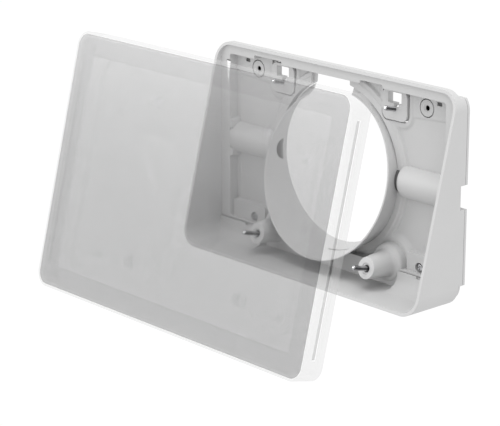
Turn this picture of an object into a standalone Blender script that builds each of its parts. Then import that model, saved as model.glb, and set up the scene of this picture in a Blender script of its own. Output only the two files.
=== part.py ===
"""Smart home hub: a thin touch panel that lifts off a tilted wall housing.

World frame: metres, +X to the right as seen by the user, -Y towards the
user, +Z up.  The wall is the plane y = 0 and the origin is the centre of
the cable opening in that plane.  The panel is modelled lifted off its
housing, on the line along which it slides home.
"""
import bpy
import bmesh
from math import sin, cos, tan, pi, radians, sqrt, asin
from mathutils import Matrix, Vector

# ------------------------------------------------------------------ sizes
MM = 0.001
TILT = radians(14.05)            # screen leans back from the vertical
GAP = 0.3                        # clearance between neighbouring pieces, mm

# touch panel, in its own frame: x across, y depth behind the glass, z up
PANEL_W, PANEL_H, PANEL_T = 247.2, 165.0, 15.6
PANEL_R = 9.8
GLASS_W, GLASS_H, GLASS_R, GLASS_T = 244.2, 162.0, 8.3, 1.2
LCD_W, LCD_H = 229.0, 149.0
PANEL_Y, PANEL_Z = -132.4, 3.03  # glass centre in the lifted-off position
DOCK_TRAVEL = 94.4               # horizontal travel from lifted off to home
LIGHT_D, LIGHT_W, LIGHT_L = 7.2, 2.4, 137.0
ISLAND_W, ISLAND_TOP, ISLAND_BOT = 188.0, 54.6, -63.0
GROOVE_T = 11.6                  # depth of the rear groove's floor

# wall housing
HOOD_W = 215.4
HOOD_TOP, HOOD_BOT = 65.3, -68.8
HOOD_R = 12.4
HOOD_WALL = 2.5
RIM_C = -25.6                    # rim plane: y cos(t) - z sin(t) = RIM_C
COLLAR_C = -13.87                # collar and post plane, same form
SHELF_Y = -9.3                   # front of the inner flange
HOOD_BACK = -5.9                 # hood's lower back edge
PAD_TOP, PAD_BOT = 60.7, -55.6
PLATE_T = 1.8
BACK_X, BACK_TOP, BACK_BOT = 97.0, 57.6, -54.3
COLLAR_R0 = 51.4                 # cable opening radius at the wall
COLLAR_R1 = 53.8                 # inner radius of the collar's rim
COLLAR_Z1 = -4.96                # height of the rim's centre
GAP_X0, GAP_X1 = -24.4, 10.7     # gap in the top of the collar
FLANGE_R = 61.0
DUCT_R, DUCT_BORE = 10.55, 7.4
NOTCH_HALF = 7.6
STUD_X = 50.3
STUD_R = 1.9
POST_Z, POST_R0, POST_R1 = -52.9, 9.1, 7.15
SOCKET_LOW, SOCKET_TOP = -51.3, 48.7
BUSH_X, BUSH_Z, BUSH_R = 75.4, 49.4, 5.75
SCREW_X, SCREW_Z = 75.2, -50.7

ST, CT = sin(TILT), cos(TILT)

# ------------------------------------------------------------- scene setup
for ob in list(bpy.data.objects):
    bpy.data.objects.remove(ob, do_unlink=True)

model = bpy.data.collections.new("smart_home_hub")
cutters = bpy.data.collections.new("cutters")
bpy.context.scene.collection.children.link(model)
bpy.context.scene.collection.children.link(cutters)

panel_frame = bpy.data.objects.new("panel_frame", None)
panel_frame.location = (0, PANEL_Y * MM, PANEL_Z * MM)
panel_frame.rotation_euler = (-TILT, 0, 0)
model.objects.link(panel_frame)
bpy.context.view_layer.update()


def material(name, rgb, rough=0.5, metal=0.0, alpha=1.0):
    m = bpy.data.materials.new(name)
    m.use_nodes = True
    b = m.node_tree.nodes["Principled BSDF"]
    b.inputs["Base Color"].default_value = (*rgb, 1)
    b.inputs["Roughness"].default_value = rough
    b.inputs["Metallic"].default_value = metal
    b.inputs["Alpha"].default_value = alpha
    return m


SHELL = (0.62, 0.62, 0.62)
WHITE = (0.80, 0.80, 0.80)
BLACK = (0.015, 0.015, 0.017)
STEEL = (0.60, 0.60, 0.62)


# ---------------------------------------------------------- shape helpers
def rrect(w, h, r, n=8, cx=0.0, cz=0.0):
    """Outline of a rounded rectangle, anticlockwise, in mm."""
    pts = []
    for sx, sz, a0 in ((1, 1, 0), (-1, 1, 90), (-1, -1, 180), (1, -1, 270)):
        for i in range(n + 1):
            a = radians(a0 + 90.0 * i / n)
            pts.append((cx + sx * (w / 2 - r) + r * cos(a),
                        cz + sz * (h / 2 - r) + r * sin(a)))
    return pts


def box_outline(x0, x1, z0, z1, r=0.0, n=4):
    if r > 0:
        return rrect(x1 - x0, z1 - z0, r, n, (x0 + x1) / 2, (z0 + z1) / 2)
    return [(x0, z0), (x1, z0), (x1, z1), (x0, z1)]


def circle(cx, cz, r, n=32):
    return [(cx + r * cos(2 * pi * i / n), cz + r * sin(2 * pi * i / n))
            for i in range(n)]


def place(ob, name, mat, frame):
    ob.name = name
    ob.data.name = name
    if mat is not None:
        ob.data.materials.clear()
        ob.data.materials.append(mat)
    if frame is not None:
        ob.parent = frame
    return ob


def slab(name, loops, y0, y1, mat=None, frame=None, bevel=0.0, along="Y"):
    """Flat outline with holes, filled and extruded from y0 to y1."""
    cu = bpy.data.curves.new(name + "_outline", "CURVE")
    cu.dimensions = "2D"
    cu.fill_mode = "BOTH"
    cu.extrude = abs(y1 - y0) / 2 * MM
    for loop in loops:
        sp = cu.splines.new("POLY")
        sp.points.add(len(loop) - 1)
        for p, (a, b) in zip(sp.points, loop):
            p.co = (a * MM, b * MM, 0, 1)
        sp.use_cyclic_u = True
    tmp = bpy.data.objects.new(name + "_curve", cu)
    model.objects.link(tmp)
    bpy.context.view_layer.update()
    dg = bpy.context.evaluated_depsgraph_get()
    me = bpy.data.meshes.new_from_object(tmp.evaluated_get(dg))
    bpy.data.objects.remove(tmp, do_unlink=True)
    bm = bmesh.new()
    bm.from_mesh(me)
    bmesh.ops.remove_doubles(bm, verts=bm.verts, dist=1e-6)
    if along == "Y":                      # outline (x, z), thickness in y
        turn = Matrix.Rotation(pi / 2, 4, "X")
        shift = Vector((0, (y0 + y1) / 2 * MM, 0))
    elif along == "X":                    # outline (y, z), thickness in x
        turn = Matrix(((0, 0, 1, 0), (1, 0, 0, 0), (0, 1, 0, 0), (0, 0, 0, 1)))
        shift = Vector(((y0 + y1) / 2 * MM, 0, 0))
    else:                                 # outline (x, y), thickness in z
        turn = Matrix.Identity(4)
        shift = Vector((0, 0, (y0 + y1) / 2 * MM))
    bm.transform(turn)
    bmesh.ops.recalc_face_normals(bm, faces=bm.faces)
    bm.to_mesh(me)
    bm.free()
    ob = bpy.data.objects.new(name, me)
    ob.location = shift
    model.objects.link(ob)
    place(ob, name, mat, frame)
    if bevel > 0:
        bv = ob.modifiers.new("edge", "BEVEL")
        bv.width = bevel * MM
        bv.segments = 2
        bv.limit_method = "ANGLE"
        bv.angle_limit = radians(50)
    return ob


def rod(name, y0, y1, r0, r1, x=0.0, z=0.0, mat=None, frame=None, n=32,
        tilt=0.0):
    """Round bar or cone from (y0, r0) to (y1, r1) along the depth axis."""
    me = bpy.data.meshes.new(name)
    bm = bmesh.new()
    bmesh.ops.create_cone(bm, cap_ends=True, segments=n,
                          radius1=r0 * MM, radius2=r1 * MM,
                          depth=abs(y1 - y0) * MM)
    sgn = -1 if y1 > y0 else 1
    bm.transform(Matrix.Rotation(sgn * pi / 2, 4, "X"))
    bmesh.ops.recalc_face_normals(bm, faces=bm.faces)
    bm.to_mesh(me)
    bm.free()
    me.shade_smooth()
    me.set_sharp_from_angle(angle=radians(35))
    ob = bpy.data.objects.new(name, me)
    ob.location = (x * MM, (y0 + y1) / 2 * MM, z * MM)
    model.objects.link(ob)
    return place(ob, name, mat, frame)


def boolean(ob, other, op):
    """Apply one exact Boolean to ob and drop the tool object."""
    bpy.context.view_layer.update()
    m = ob.modifiers.new(op.lower(), "BOOLEAN")
    m.operation = op
    m.solver = "EXACT"
    m.object = other
    other.hide_render = True
    other.display_type = "WIRE"
    dg = bpy.context.evaluated_depsgraph_get()
    me = bpy.data.meshes.new_from_object(ob.evaluated_get(dg))
    mats = list(ob.data.materials)
    ob.modifiers.remove(m)
    ob.data = me
    me.materials.clear()
    for mt in mats:
        me.materials.append(mt)
    me.name = ob.name
    bpy.data.objects.remove(other, do_unlink=True)


def cut(ob, other):
    boolean(ob, other, "DIFFERENCE")


def join(ob, other):
    boolean(ob, other, "UNION")


def clip(ob, other):
    boolean(ob, other, "INTERSECT")


def tidy(ob, dist=2e-6):
    """Dissolve leftover collinear points and flat seams after Booleans."""
    bm = bmesh.new()
    bm.from_mesh(ob.data)
    bmesh.ops.remove_doubles(bm, verts=bm.verts, dist=dist)
    bmesh.ops.dissolve_limit(bm, angle_limit=radians(0.5), verts=bm.verts,
                             edges=bm.edges)
    bmesh.ops.triangulate(bm, faces=bm.faces)
    bm.to_mesh(ob.data)
    bm.free()
    ob.data.shade_smooth()
    ob.data.set_sharp_from_angle(angle=radians(30))


def front_of(c, y_far=-220.0):
    """Solid in front of the tilted plane y cos - z sin = c (a cutter)."""
    z0, z1 = -120.0, 120.0
    prof = [((c + z0 * ST) / CT, z0), (y_far, z0), (y_far, z1),
            ((c + z1 * ST) / CT, z1)]
    return slab("front_cut", [prof], -160, 160, along="X")


def plane_y(c, z):
    return (c + z * ST) / CT


# =============================================================== housing
shell_mat = material("housing_grey_plastic", SHELL, 0.55)

# --- hood: tilted, wedge-shaped shell with an inner flange -------------
profile = [(plane_y(RIM_C, -90), -90), (HOOD_BACK, -90),
           (HOOD_BACK, PAD_BOT), (-PLATE_T - GAP, PAD_BOT),
           (-PLATE_T - GAP, PAD_TOP), (HOOD_BACK, PAD_TOP), (HOOD_BACK, 68),
           (plane_y(RIM_C, 68), 68)]
hood = slab("housing_hood", [profile], -130, 130, along="X", mat=shell_mat)
clip(hood, slab("hood_prism", [rrect(HOOD_W, HOOD_TOP - HOOD_BOT, HOOD_R, 6,
                                     0, (HOOD_TOP + HOOD_BOT) / 2)], -90, 5))
cut(hood, slab("hood_cavity",
               [rrect(HOOD_W - 2 * HOOD_WALL,
                      HOOD_TOP - HOOD_BOT - 2 * HOOD_WALL,
                      HOOD_R - HOOD_WALL, 6, 0,
                      (HOOD_TOP + HOOD_BOT) / 2)], -100, SHELF_Y))
cut(hood, slab("hood_opening",
               [box_outline(-BACK_X, BACK_X, BACK_BOT, BACK_TOP, 2.0, 2)],
               -20, 10))
cut(hood, rod("collar_clear", -20, 10, 56.2, 56.2, n=64))
for s in (-1, 1):
    cut(hood, slab("side_notch",
                   [box_outline(s * 109 - 14, s * 109 + 14, -NOTCH_HALF,
                                NOTCH_HALF, 2.0, 2)], HOOD_BACK, 6))
    cut(hood, slab("corner_slot",
                   [box_outline(s * 100.2 - 1.8, s * 100.2 + 1.8, 38.0, 52.5)],
                   -20, 6))
tidy(hood)

# --- flared collar geometry, shared by the collar and its seat ----------
N_RING = 72


def rim_point(a, r, c=COLLAR_C):
    """Point at angle a on a circle of radius r in the tilted rim plane."""
    z = COLLAR_Z1 + r * sin(a) * CT
    return (r * cos(a), plane_y(c, z), z)


def collar_point(a, r_back, r_rim, t, c=COLLAR_C):
    """t = 0 on the wall plane, t = 1 on the tilted rim plane."""
    x1, y1, z1 = rim_point(a, r_rim, c)
    x0, z0 = r_back * cos(a), r_back * sin(a)
    return ((x0 + (x1 - x0) * t), y1 * t, (z0 + (z1 - z0) * t))


def ring_body(name, sections, mat):
    """Loft closed rings: sections is a list of point lists, in order."""
    me = bpy.data.meshes.new(name)
    bm = bmesh.new()
    rows = [[bm.verts.new((x * MM, y * MM, z * MM)) for x, y, z in sec]
            for sec in sections]
    m = len(rows)
    n = len(rows[0])
    for i in range(m):
        a, b = rows[i], rows[(i + 1) % m]
        for j in range(n):
            q = (j + 1) % n
            bm.faces.new((a[j], a[q], b[q], b[j]))
    bmesh.ops.recalc_face_normals(bm, faces=bm.faces)
    bm.to_mesh(me)
    bm.free()
    ob = bpy.data.objects.new(name, me)
    model.objects.link(ob)
    return place(ob, name, mat, None)


def plug(name, r_back, r_rim):
    """Solid that fills the flared cable opening, as a cutter."""
    pts = [2 * pi * (i + 0.5) / N_RING for i in range(N_RING)]
    me = bpy.data.meshes.new(name)
    bm = bmesh.new()
    rows = [[bm.verts.new(Vector(collar_point(a, r_back, r_rim, t)) * MM)
             for a in pts] for t in (-2.0, 2.5)]
    for j in range(N_RING):
        q = (j + 1) % N_RING
        bm.faces.new((rows[0][j], rows[0][q], rows[1][q], rows[1][j]))
    bm.faces.new(rows[0])
    bm.faces.new(rows[1])
    bmesh.ops.recalc_face_normals(bm, faces=bm.faces)
    bm.to_mesh(me)
    bm.free()
    ob = bpy.data.objects.new(name, me)
    model.objects.link(ob)
    return ob


# --- back plate --------------------------------------------------------
cz = HOOD_TOP - HOOD_R
x_top = HOOD_W / 2 - HOOD_R + sqrt(HOOD_R ** 2 - (PAD_TOP - cz) ** 2)
a_top = asin((PAD_TOP - cz) / HOOD_R)
outline = [(-HOOD_W / 2, PAD_BOT), (HOOD_W / 2, PAD_BOT)]
outline += [(HOOD_W / 2 - HOOD_R + HOOD_R * cos(a_top * i / 5),
             cz + HOOD_R * sin(a_top * i / 5)) for i in range(6)]
outline += [(-x, z) for x, z in reversed(outline[2:])]
plate = slab("wall_plate", [outline], -PLATE_T, 0, mat=shell_mat)
cut(plate, plug("opening", COLLAR_R0 + 2.65, COLLAR_R1 + 1.75))
cut(plate, rod("opening_rear", -8, 6, COLLAR_R0 + 2.7, COLLAR_R0 + 2.7,
               n=N_RING))
cut(plate, slab("opening_top", [box_outline(GAP_X0, GAP_X1, 20, 57.4)],
                -6, 5))
for s in (-1, 1):
    cut(plate, slab("notch", [box_outline(s * 104 - 14, s * 104 + 14,
                                          -NOTCH_HALF, NOTCH_HALF, 2.0, 2)],
                    -6, 5))
    cut(plate, slab("corner_slot",
                    [box_outline(s * 100.2 - 1.8, s * 100.2 + 1.8,
                                 38.0, 52.5)], -6, 5))
    cut(plate, slab("tab_seat",
                    [box_outline(s * STUD_X - 11.4, s * STUD_X + 11.4,
                                 36.3, 57.2, 5.2, 4)], -6, 5))
    cut(plate, rod("bush_seat", -6, 5, BUSH_R + GAP, BUSH_R + GAP,
                   s * BUSH_X, BUSH_Z))
tidy(plate)

# --- collar: flared ring round the cable opening, open at the top ------
ang = [2 * pi * (i + 0.5) / N_RING for i in range(N_RING)]
inner = [[collar_point(a, COLLAR_R0, COLLAR_R1, t) for a in ang]
         for t in (0.0, 1.0)]
outer = [[collar_point(a, COLLAR_R0 + 2.2, COLLAR_R1 + 1.3, t) for a in ang]
         for t in (1.0, 0.0)]
collar = ring_body("cable_collar", inner + outer, shell_mat)
flange = slab("collar_flange", [circle(0, 0, FLANGE_R, N_RING),
                                circle(0, 0, COLLAR_R0 + 1.2, N_RING)],
              -PLATE_T - GAP - 1.9, -PLATE_T - GAP)
cut(flange, slab("flange_low", [box_outline(-80, 80, -80, -53.6)], -12, 5))
cut(flange, slab("flange_high", [box_outline(-80, 80, 33.0, 80)], -12, 5))
for s in (-1, 1):
    cut(flange, slab("flange_duct",
                     [box_outline(s * 70 - 14, s * 70 + 14, -11.2, 11.2)],
                     -12, 5))
join(collar, flange)
cut(collar, slab("collar_gap", [box_outline(GAP_X0, GAP_X1, 20, 80)], -60, 10))
for s in (-1, 1):
    prof = [(-2.9, -7.0), (-2.9, 7.0)] + \
           [(-2.9 - 4.5 * sin(pi * i / 8), 7.0 * cos(pi * i / 8))
            for i in range(1, 8)]
    cut(collar, slab("duct_mouth", [prof], s * 57 - 9, s * 57 + 9,
                     along="X"))
cut(collar, slab("drain_slot", [box_outline(-7, 6, -70, -40)], -8.0, -7.0))
tidy(collar)

# --- cable ducts: half-round covers from the collar to the side notches -
for s, side in ((-1, "left"), (1, "right")):
    x_in, x_out = 57.2, BACK_X - GAP
    xa, xb = (x_in, x_out) if s > 0 else (-x_out, -x_in)

    def half(r, n=12):
        return [(-PLATE_T - GAP - max(0.0, r * sin(pi * i / n) -
                                      (PLATE_T + GAP)),
                 -r * cos(pi * i / n)) for i in range(n + 1)]

    arch = half(DUCT_R)
    duct = slab("duct_cover_" + side, [arch], xa, xb, along="X",
                mat=shell_mat)
    bore = [(4.0, -DUCT_BORE), (4.0, DUCT_BORE)] + \
           [(-DUCT_BORE * sin(pi * i / 12), DUCT_BORE * cos(pi * i / 12))
            for i in range(13)]
    cut(duct, slab("duct_bore", [bore], xa - 5, xb + 5, along="X"))
    tidy(duct)

# --- lower blocks with the hood screws ---------------------------------
for s, side in ((-1, "left"), (1, "right")):
    prof = [(-2.1, -42.0), (-6.6, -42.0), (-6.6, -51.6), (-17.6, -52.6),
            (-17.6, -66.0), (-9.6, -66.0), (-9.6, -54.0), (-2.1, -54.0)]
    xa, xb = (62.0, 94.6) if s > 0 else (-94.6, -62.0)
    block = slab("screw_block_" + side, [prof], xa, xb, along="X",
                 mat=shell_mat)
    cut(block, rod("screw_hole", -12, -3.6, 3.3, 3.3, s * SCREW_X, SCREW_Z,
                   n=24))
    cut(block, slab("relief", [box_outline(s * 77.6 - 1.7, s * 77.6 + 1.7,
                                           -58.0, -53.9)], -30, -14.5))
    tidy(block)

# In the tilted frame (x, depth c, height v) a world point (x, y, z) has
# c = y cos - z sin and v = y sin + z cos.
def tilted_v(y, z):
    return y * ST + z * CT


LOW_V = tilted_v(plane_y(COLLAR_C, POST_Z), POST_Z)
TOP_V = tilted_v(-1.4, 43.9)

# --- tapered posts with a tilted seat, and their studs ------------------
for s, side in ((-1, "left"), (1, "right")):
    post = rod("post_" + side, -9.6, -46.0, POST_R0, POST_R1 - 1.1,
               s * STUD_X, POST_Z, mat=shell_mat)
    root = rod("post_root", -2.1, -13.0, 11.0, 10.4, s * STUD_X, POST_Z)
    cut(root, slab("root_low", [box_outline(-90, 90, -90, -53.9)], -30, 5))
    join(post, root)
    cut(post, front_of(COLLAR_C))
    bore = rod("stud_bore", COLLAR_C - 6, COLLAR_C + 9, STUD_R + 0.35,
               STUD_R + 0.35, n=24)
    bore.matrix_world = Matrix.Rotation(-TILT, 4, "X") @ Matrix.Translation(
        Vector((s * STUD_X * MM, (COLLAR_C + 1.5) * MM, LOW_V * MM)))
    bpy.context.view_layer.update()
    cut(post, bore)
    tidy(post)


def stud(name, x, v, c0, c1, z_shift):
    """Steel stud square to the tilted plane, from depth c0 (root) to c1."""
    me = bpy.data.meshes.new(name + "_profile")
    L = abs(c1 - c0)
    prof = [(0.0, 0.0), (STUD_R, 0.0), (STUD_R, L - 0.9),
            (STUD_R - 0.45, L - 0.25), (STUD_R - 1.0, L), (0.0, L)]
    bm = bmesh.new()
    vs = [bm.verts.new((r * MM, 0, h * MM)) for r, h in reversed(prof)]
    for a, b in zip(vs, vs[1:]):
        bm.edges.new((a, b))
    bm.to_mesh(me)
    bm.free()
    ob = bpy.data.objects.new(name, me)
    model.objects.link(ob)
    sc = ob.modifiers.new("turn", "SCREW")
    sc.angle = 2 * pi
    sc.steps = sc.render_steps = 24
    sc.axis = "Z"
    sc.use_merge_vertices = True
    sc.merge_threshold = 1e-6
    ob.matrix_world = Matrix.Rotation(-TILT, 4, "X") @ Matrix.Translation(
        Vector((x * MM, c0 * MM, (v + z_shift) * MM))) @ \
        Matrix.Rotation(pi / 2, 4, "X")
    return place(ob, name, material(name + "_steel", STEEL, 0.22, 1.0), None)


for s, side in ((-1, "left"), (1, "right")):
    stud("stud_lower_" + side, s * STUD_X, LOW_V, COLLAR_C + 6.5, RIM_C, 0)
    stud("stud_upper_" + side, s * STUD_X, TOP_V, -12.3, -24.4, 0)

# --- spring tabs that carry the upper studs -----------------------------
for s, side in ((-1, "left"), (1, "right")):
    tab = slab("stud_tab_" + side,
               [box_outline(s * STUD_X - 10.4, s * STUD_X + 10.4, 37.3, 56.9,
                            4.4, 5)], -4.8, -0.1, mat=shell_mat)
    cut(tab, slab("tab_window",
                  [box_outline(s * STUD_X - 5.6, s * STUD_X + 5.6,
                               47.9, 55.3)], -9, 5))
    seat = rod("stud_seat", -9, 9, STUD_R + 0.35, STUD_R + 0.35, n=24)
    seat.matrix_world = Matrix.Rotation(-TILT, 4, "X") @ Matrix.Translation(
        Vector((s * STUD_X * MM, -13.0 * MM, TOP_V * MM)))
    bpy.context.view_layer.update()
    cut(tab, seat)
    tidy(tab)

# --- wall-screw bushes ---------------------------------------------------
for s, side in ((-1, "left"), (1, "right")):
    bush = slab("screw_bush_" + side,
                [circle(s * BUSH_X, BUSH_Z, BUSH_R, 32)],
                -2.3, -0.1, mat=shell_mat)
    cut(bush, rod("bush_hole", -6, 3, 1.6, 1.6, s * BUSH_X, BUSH_Z, n=20))
    tidy(bush)

# --- hood screws ---------------------------------------------------------
for s, side in ((-1, "left"), (1, "right")):
    screw = rod("hood_screw_" + side, -4.0, -6.3, 2.9, 2.9, s * SCREW_X,
                SCREW_Z, mat=material("hood_screw_%s_steel" % side,
                                      STEEL, 0.3, 1.0), n=24)
    cut(screw, rod("drive", -8, -5.2, 1.2, 1.2, s * SCREW_X, SCREW_Z, n=6))
    tidy(screw)

# ============================================================ touch panel
P = panel_frame

# --- outer band with a glass pocket and a light slot on each side --------
band = slab("side_band", [rrect(PANEL_W, PANEL_H, PANEL_R, 6)], 0.3, PANEL_T,
            mat=material("band_white_plastic", WHITE, 0.4), frame=None)
cut(band, slab("pocket", [rrect(GLASS_W + 0.6, GLASS_H + 0.6,
                                GLASS_R + 0.3, 6)], -3, 1.8))
cut(band, slab("through", [rrect(PANEL_W - 6.2, PANEL_H - 6.2,
                                 PANEL_R - 3.1, 6)], -5, 30))
for s in (-1, 1):
    cut(band, slab("light_slot",
                   [box_outline(s * 123 - 5, s * 123 + 5, -LIGHT_L / 2,
                                LIGHT_L / 2)],
                   LIGHT_D - LIGHT_W / 2, LIGHT_D + LIGHT_W / 2))
tidy(band)
band.parent = P

slab("cover_glass", [rrect(GLASS_W, GLASS_H, GLASS_R, 6)], 0.0, GLASS_T,
     mat=material("black_glass", BLACK, 0.12), frame=P)
slab("lcd_panel", [rrect(LCD_W, LCD_H, 1.0, 2)], 1.5, 2.9,
     mat=material("lcd_dark", (0.03, 0.03, 0.035), 0.3), frame=P)
slab("backlight_unit", [rrect(LCD_W, LCD_H, 1.0, 2)], 3.2, 5.2,
     mat=material("backlight_white", (0.75, 0.75, 0.75), 0.6), frame=P)

# --- mid frame -----------------------------------------------------------
slab("mid_frame", [rrect(PANEL_W - 7.4, PANEL_H - 7.4, 5.6, 4),
                   box_outline(-60, 60, 30, 60, 3.0, 3)],
     5.5, 6.4, mat=material("mid_frame_steel", (0.5, 0.5, 0.52), 0.4, 1.0),
     frame=P)

# --- electronics ---------------------------------------------------------
board = slab("main_board",
             [[(-85, -55), (85, -55), (85, 10), (60, 10), (60, 40),
               (-60, 40), (-60, 10), (-85, 10)]], 7.4, 8.6,
             mat=material("board_green", (0.03, 0.12, 0.06), 0.5))
for s in (-1, 1):
    for z in (SOCKET_LOW, SOCKET_TOP):
        cut(board, rod("board_clear", 0, 20, 4.4, 4.4, s * STUD_X, z, n=24))
cut(board, slab("jack_notch", [box_outline(-21, 22, -36, 5)], 0, 20))
board.parent = P
slab("processor_shield", [box_outline(-58, -26, -4, 28, 1.5, 2)], 8.9, 11.2,
     mat=material("shield_tin", (0.6, 0.6, 0.6), 0.35, 1.0), frame=P)
slab("heat_spreader", [box_outline(-58, -26, -4, 28, 1.5, 2)], 11.5, 12.3,
     mat=material("spreader_aluminium", (0.7, 0.7, 0.7), 0.4, 1.0), frame=P)

# --- ethernet socket and power port, opening downwards into the bay ------
jack = slab("ethernet_socket", [box_outline(-18.6, -1.4, -14.0, 4.0)],
            6.8, 15.4, mat=material("socket_black", (0.04, 0.04, 0.04), 0.5))
cut(jack, slab("mouth", [box_outline(-16.1, -3.9, -30, 1.0)], 7.8, 14.8))
tidy(jack)
jack.parent = P
port = slab("power_port", [box_outline(5.4, 15.4, -11.0, -1.0, 0.6, 2)],
            8.8, 12.8, mat=material("port_steel", STEEL, 0.3, 1.0))
cut(port, slab("mouth", [rrect(8.4, 2.6, 1.2, 4, 10.4, 10.8)], -30, -3.0,
               along="Z"))
tidy(port)
port.parent = P

# --- rear cover: rim, groove for the hood's rim, raised centre -----------
cover = slab("rear_cover", [rrect(PANEL_W - 7.0, PANEL_H - 7.0, 6.0, 5)],
             10.1, PANEL_T, mat=material("rear_cover_white", WHITE, 0.5))
cut(cover, slab("groove", [box_outline(-108.4, 108.4, -71.6, 68.8, 12.9, 6),
                           box_outline(-ISLAND_W / 2, ISLAND_W / 2,
                                       ISLAND_BOT, ISLAND_TOP, 8.0, 5)],
                GROOVE_T, 20))
cut(cover, slab("pocket", [box_outline(-ISLAND_W / 2 + 1.8,
                                       ISLAND_W / 2 - 1.8,
                                       ISLAND_BOT + 1.8, ISLAND_TOP - 1.8,
                                       6.2, 4)], 5, 13.9))
cut(cover, slab("bay", [box_outline(-20.4, 21.4, -35.4, 4.4, 2.0, 3)],
                5, 20))
for s in (-1, 1):
    for z in (SOCKET_LOW, SOCKET_TOP):
        cut(cover, rod("socket_seat", 5, 20, 4.3, 4.3, s * STUD_X, z, n=24))
    for z in (-54.0, 38.0):
        cut(cover, rod("screw_seat", 5, 15.0, 1.5, 1.5, s * 84.0, z, n=16))
        cut(cover, rod("screw_sink", 14.6, 20, 2.9, 2.9, s * 84.0, z, n=20))
tidy(cover)
cover.parent = P

# --- port bay liner: closes the bay towards the electronics --------------
liner = slab("port_bay", [box_outline(-20.0, 21.0, -35.0, 4.1, 1.7, 3)],
             6.7, 15.3, mat=material("bay_grey", (0.2, 0.2, 0.2), 0.6))
cut(liner, slab("bay_hollow", [box_outline(-18.9, 19.9, -33.9, -14.3,
                                           1.2, 3)], 8.0, 20))
cut(liner, slab("jack_seat", [box_outline(-18.9, -1.1, -18, 20)], 0, 30))
cut(liner, slab("port_seat", [box_outline(5.1, 15.7, -18, -0.7)],
                8.5, 13.1))
tidy(liner)
liner.parent = P

# --- stud sockets with upright slots -------------------------------------
for s, side in ((-1, "left"), (1, "right")):
    for z, row in ((SOCKET_LOW, "lower"), (SOCKET_TOP, "upper")):
        so = rod("stud_socket_%s_%s" % (row, side), 9.6, PANEL_T - 0.1,
                 4.0, 4.0, s * STUD_X, z,
                 mat=material("socket_%s_%s_steel" % (row, side),
                              (0.45, 0.45, 0.47), 0.4, 1.0), n=24)
        cut(so, slab("slot", [rrect(4.6, 6.6, 2.2, 4, s * STUD_X, z)],
                     11.0, 20))
        tidy(so)
        so.parent = P

# --- rear cover screws ----------------------------------------------------
for s, side in ((-1, "left"), (1, "right")):
    for z, row in ((-54.0, "lower"), (38.0, "upper")):
        sc = rod("cover_screw_%s_%s" % (row, side), 14.9, 15.5, 2.5, 2.2,
                 s * 84.0, z,
                 mat=material("cover_screw_%s_%s_steel" % (row, side),
                              STEEL, 0.3, 1.0), n=20)
        join(sc, rod("shank", 9.0, 15.1, 1.15, 1.15, s * 84.0, z, n=16))
        cut(sc, rod("drive", 15.2, 17, 0.9, 0.9, s * 84.0, z, n=6))
        tidy(sc)
        sc.parent = P

# --- light bars and their LED strips --------------------------------------
for s, side in ((-1, "left"), (1, "right")):
    bar = slab("light_bar_" + side,
               [box_outline(s * 121.85 - 1.25, s * 121.85 + 1.25,
                            -LIGHT_L / 2 + GAP, LIGHT_L / 2 - GAP)],
               LIGHT_D - LIGHT_W / 2 + 0.25, LIGHT_D + LIGHT_W / 2 - 0.25,
               mat=material("light_bar_%s_smoke" % side, (0.05, 0.05, 0.05),
                            0.3), frame=P)
    slab("led_strip_" + side,
         [box_outline(s * 119.4 - 0.9, s * 119.4 + 0.9, -66.0, 66.0)],
         6.7, 8.3, mat=material("led_strip_%s_film" % side,
                                (0.55, 0.55, 0.5), 0.5), frame=P)

# --- display ribbon, wireless aerial and supply module --------------------
slab("display_ribbon",
     [[(5.4, 57.0), (5.7, 57.0), (5.7, 44.6), (9.2, 41.6), (9.2, 33.0),
       (8.9, 33.0), (8.9, 41.46), (5.4, 44.46)]], -12.0, 12.0, along="X",
     mat=material("ribbon_amber", (0.35, 0.18, 0.04), 0.5), frame=P)
slab("wifi_antenna", [box_outline(66.0, 104.0, 44.0, 56.0, 1.0, 2)],
     6.7, 7.1, mat=material("antenna_film", (0.3, 0.2, 0.05), 0.5), frame=P)
slab("supply_module", [box_outline(28.0, 52.0, -2.0, 22.0, 1.0, 2)],
     8.9, 13.2, mat=material("supply_black", (0.03, 0.03, 0.03), 0.5),
     frame=P)
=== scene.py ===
"""Looks of the smart home hub: wall housing and lifted-off touch panel."""
import bpy
import bmesh
import numpy as np
from math import sin, cos, pi, radians, sqrt
from mathutils import Matrix, Vector


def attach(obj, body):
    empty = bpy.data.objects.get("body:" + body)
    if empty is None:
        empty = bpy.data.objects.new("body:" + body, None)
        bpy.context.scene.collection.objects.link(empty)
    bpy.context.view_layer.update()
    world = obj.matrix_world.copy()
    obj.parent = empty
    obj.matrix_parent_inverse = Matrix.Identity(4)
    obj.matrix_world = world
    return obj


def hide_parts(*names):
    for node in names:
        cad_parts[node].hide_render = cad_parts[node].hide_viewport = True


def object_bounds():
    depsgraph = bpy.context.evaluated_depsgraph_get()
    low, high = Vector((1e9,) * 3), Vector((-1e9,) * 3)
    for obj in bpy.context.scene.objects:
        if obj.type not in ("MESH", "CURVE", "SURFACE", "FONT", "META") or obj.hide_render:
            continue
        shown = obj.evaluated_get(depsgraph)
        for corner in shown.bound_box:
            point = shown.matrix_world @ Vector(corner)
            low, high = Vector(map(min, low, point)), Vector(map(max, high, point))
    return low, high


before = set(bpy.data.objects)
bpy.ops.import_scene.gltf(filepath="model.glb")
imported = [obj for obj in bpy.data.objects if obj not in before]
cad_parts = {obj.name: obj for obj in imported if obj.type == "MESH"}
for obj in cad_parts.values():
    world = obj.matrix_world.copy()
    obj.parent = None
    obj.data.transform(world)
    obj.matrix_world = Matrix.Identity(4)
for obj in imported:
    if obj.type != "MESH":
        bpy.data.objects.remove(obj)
cad_lo, cad_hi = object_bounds()

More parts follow.
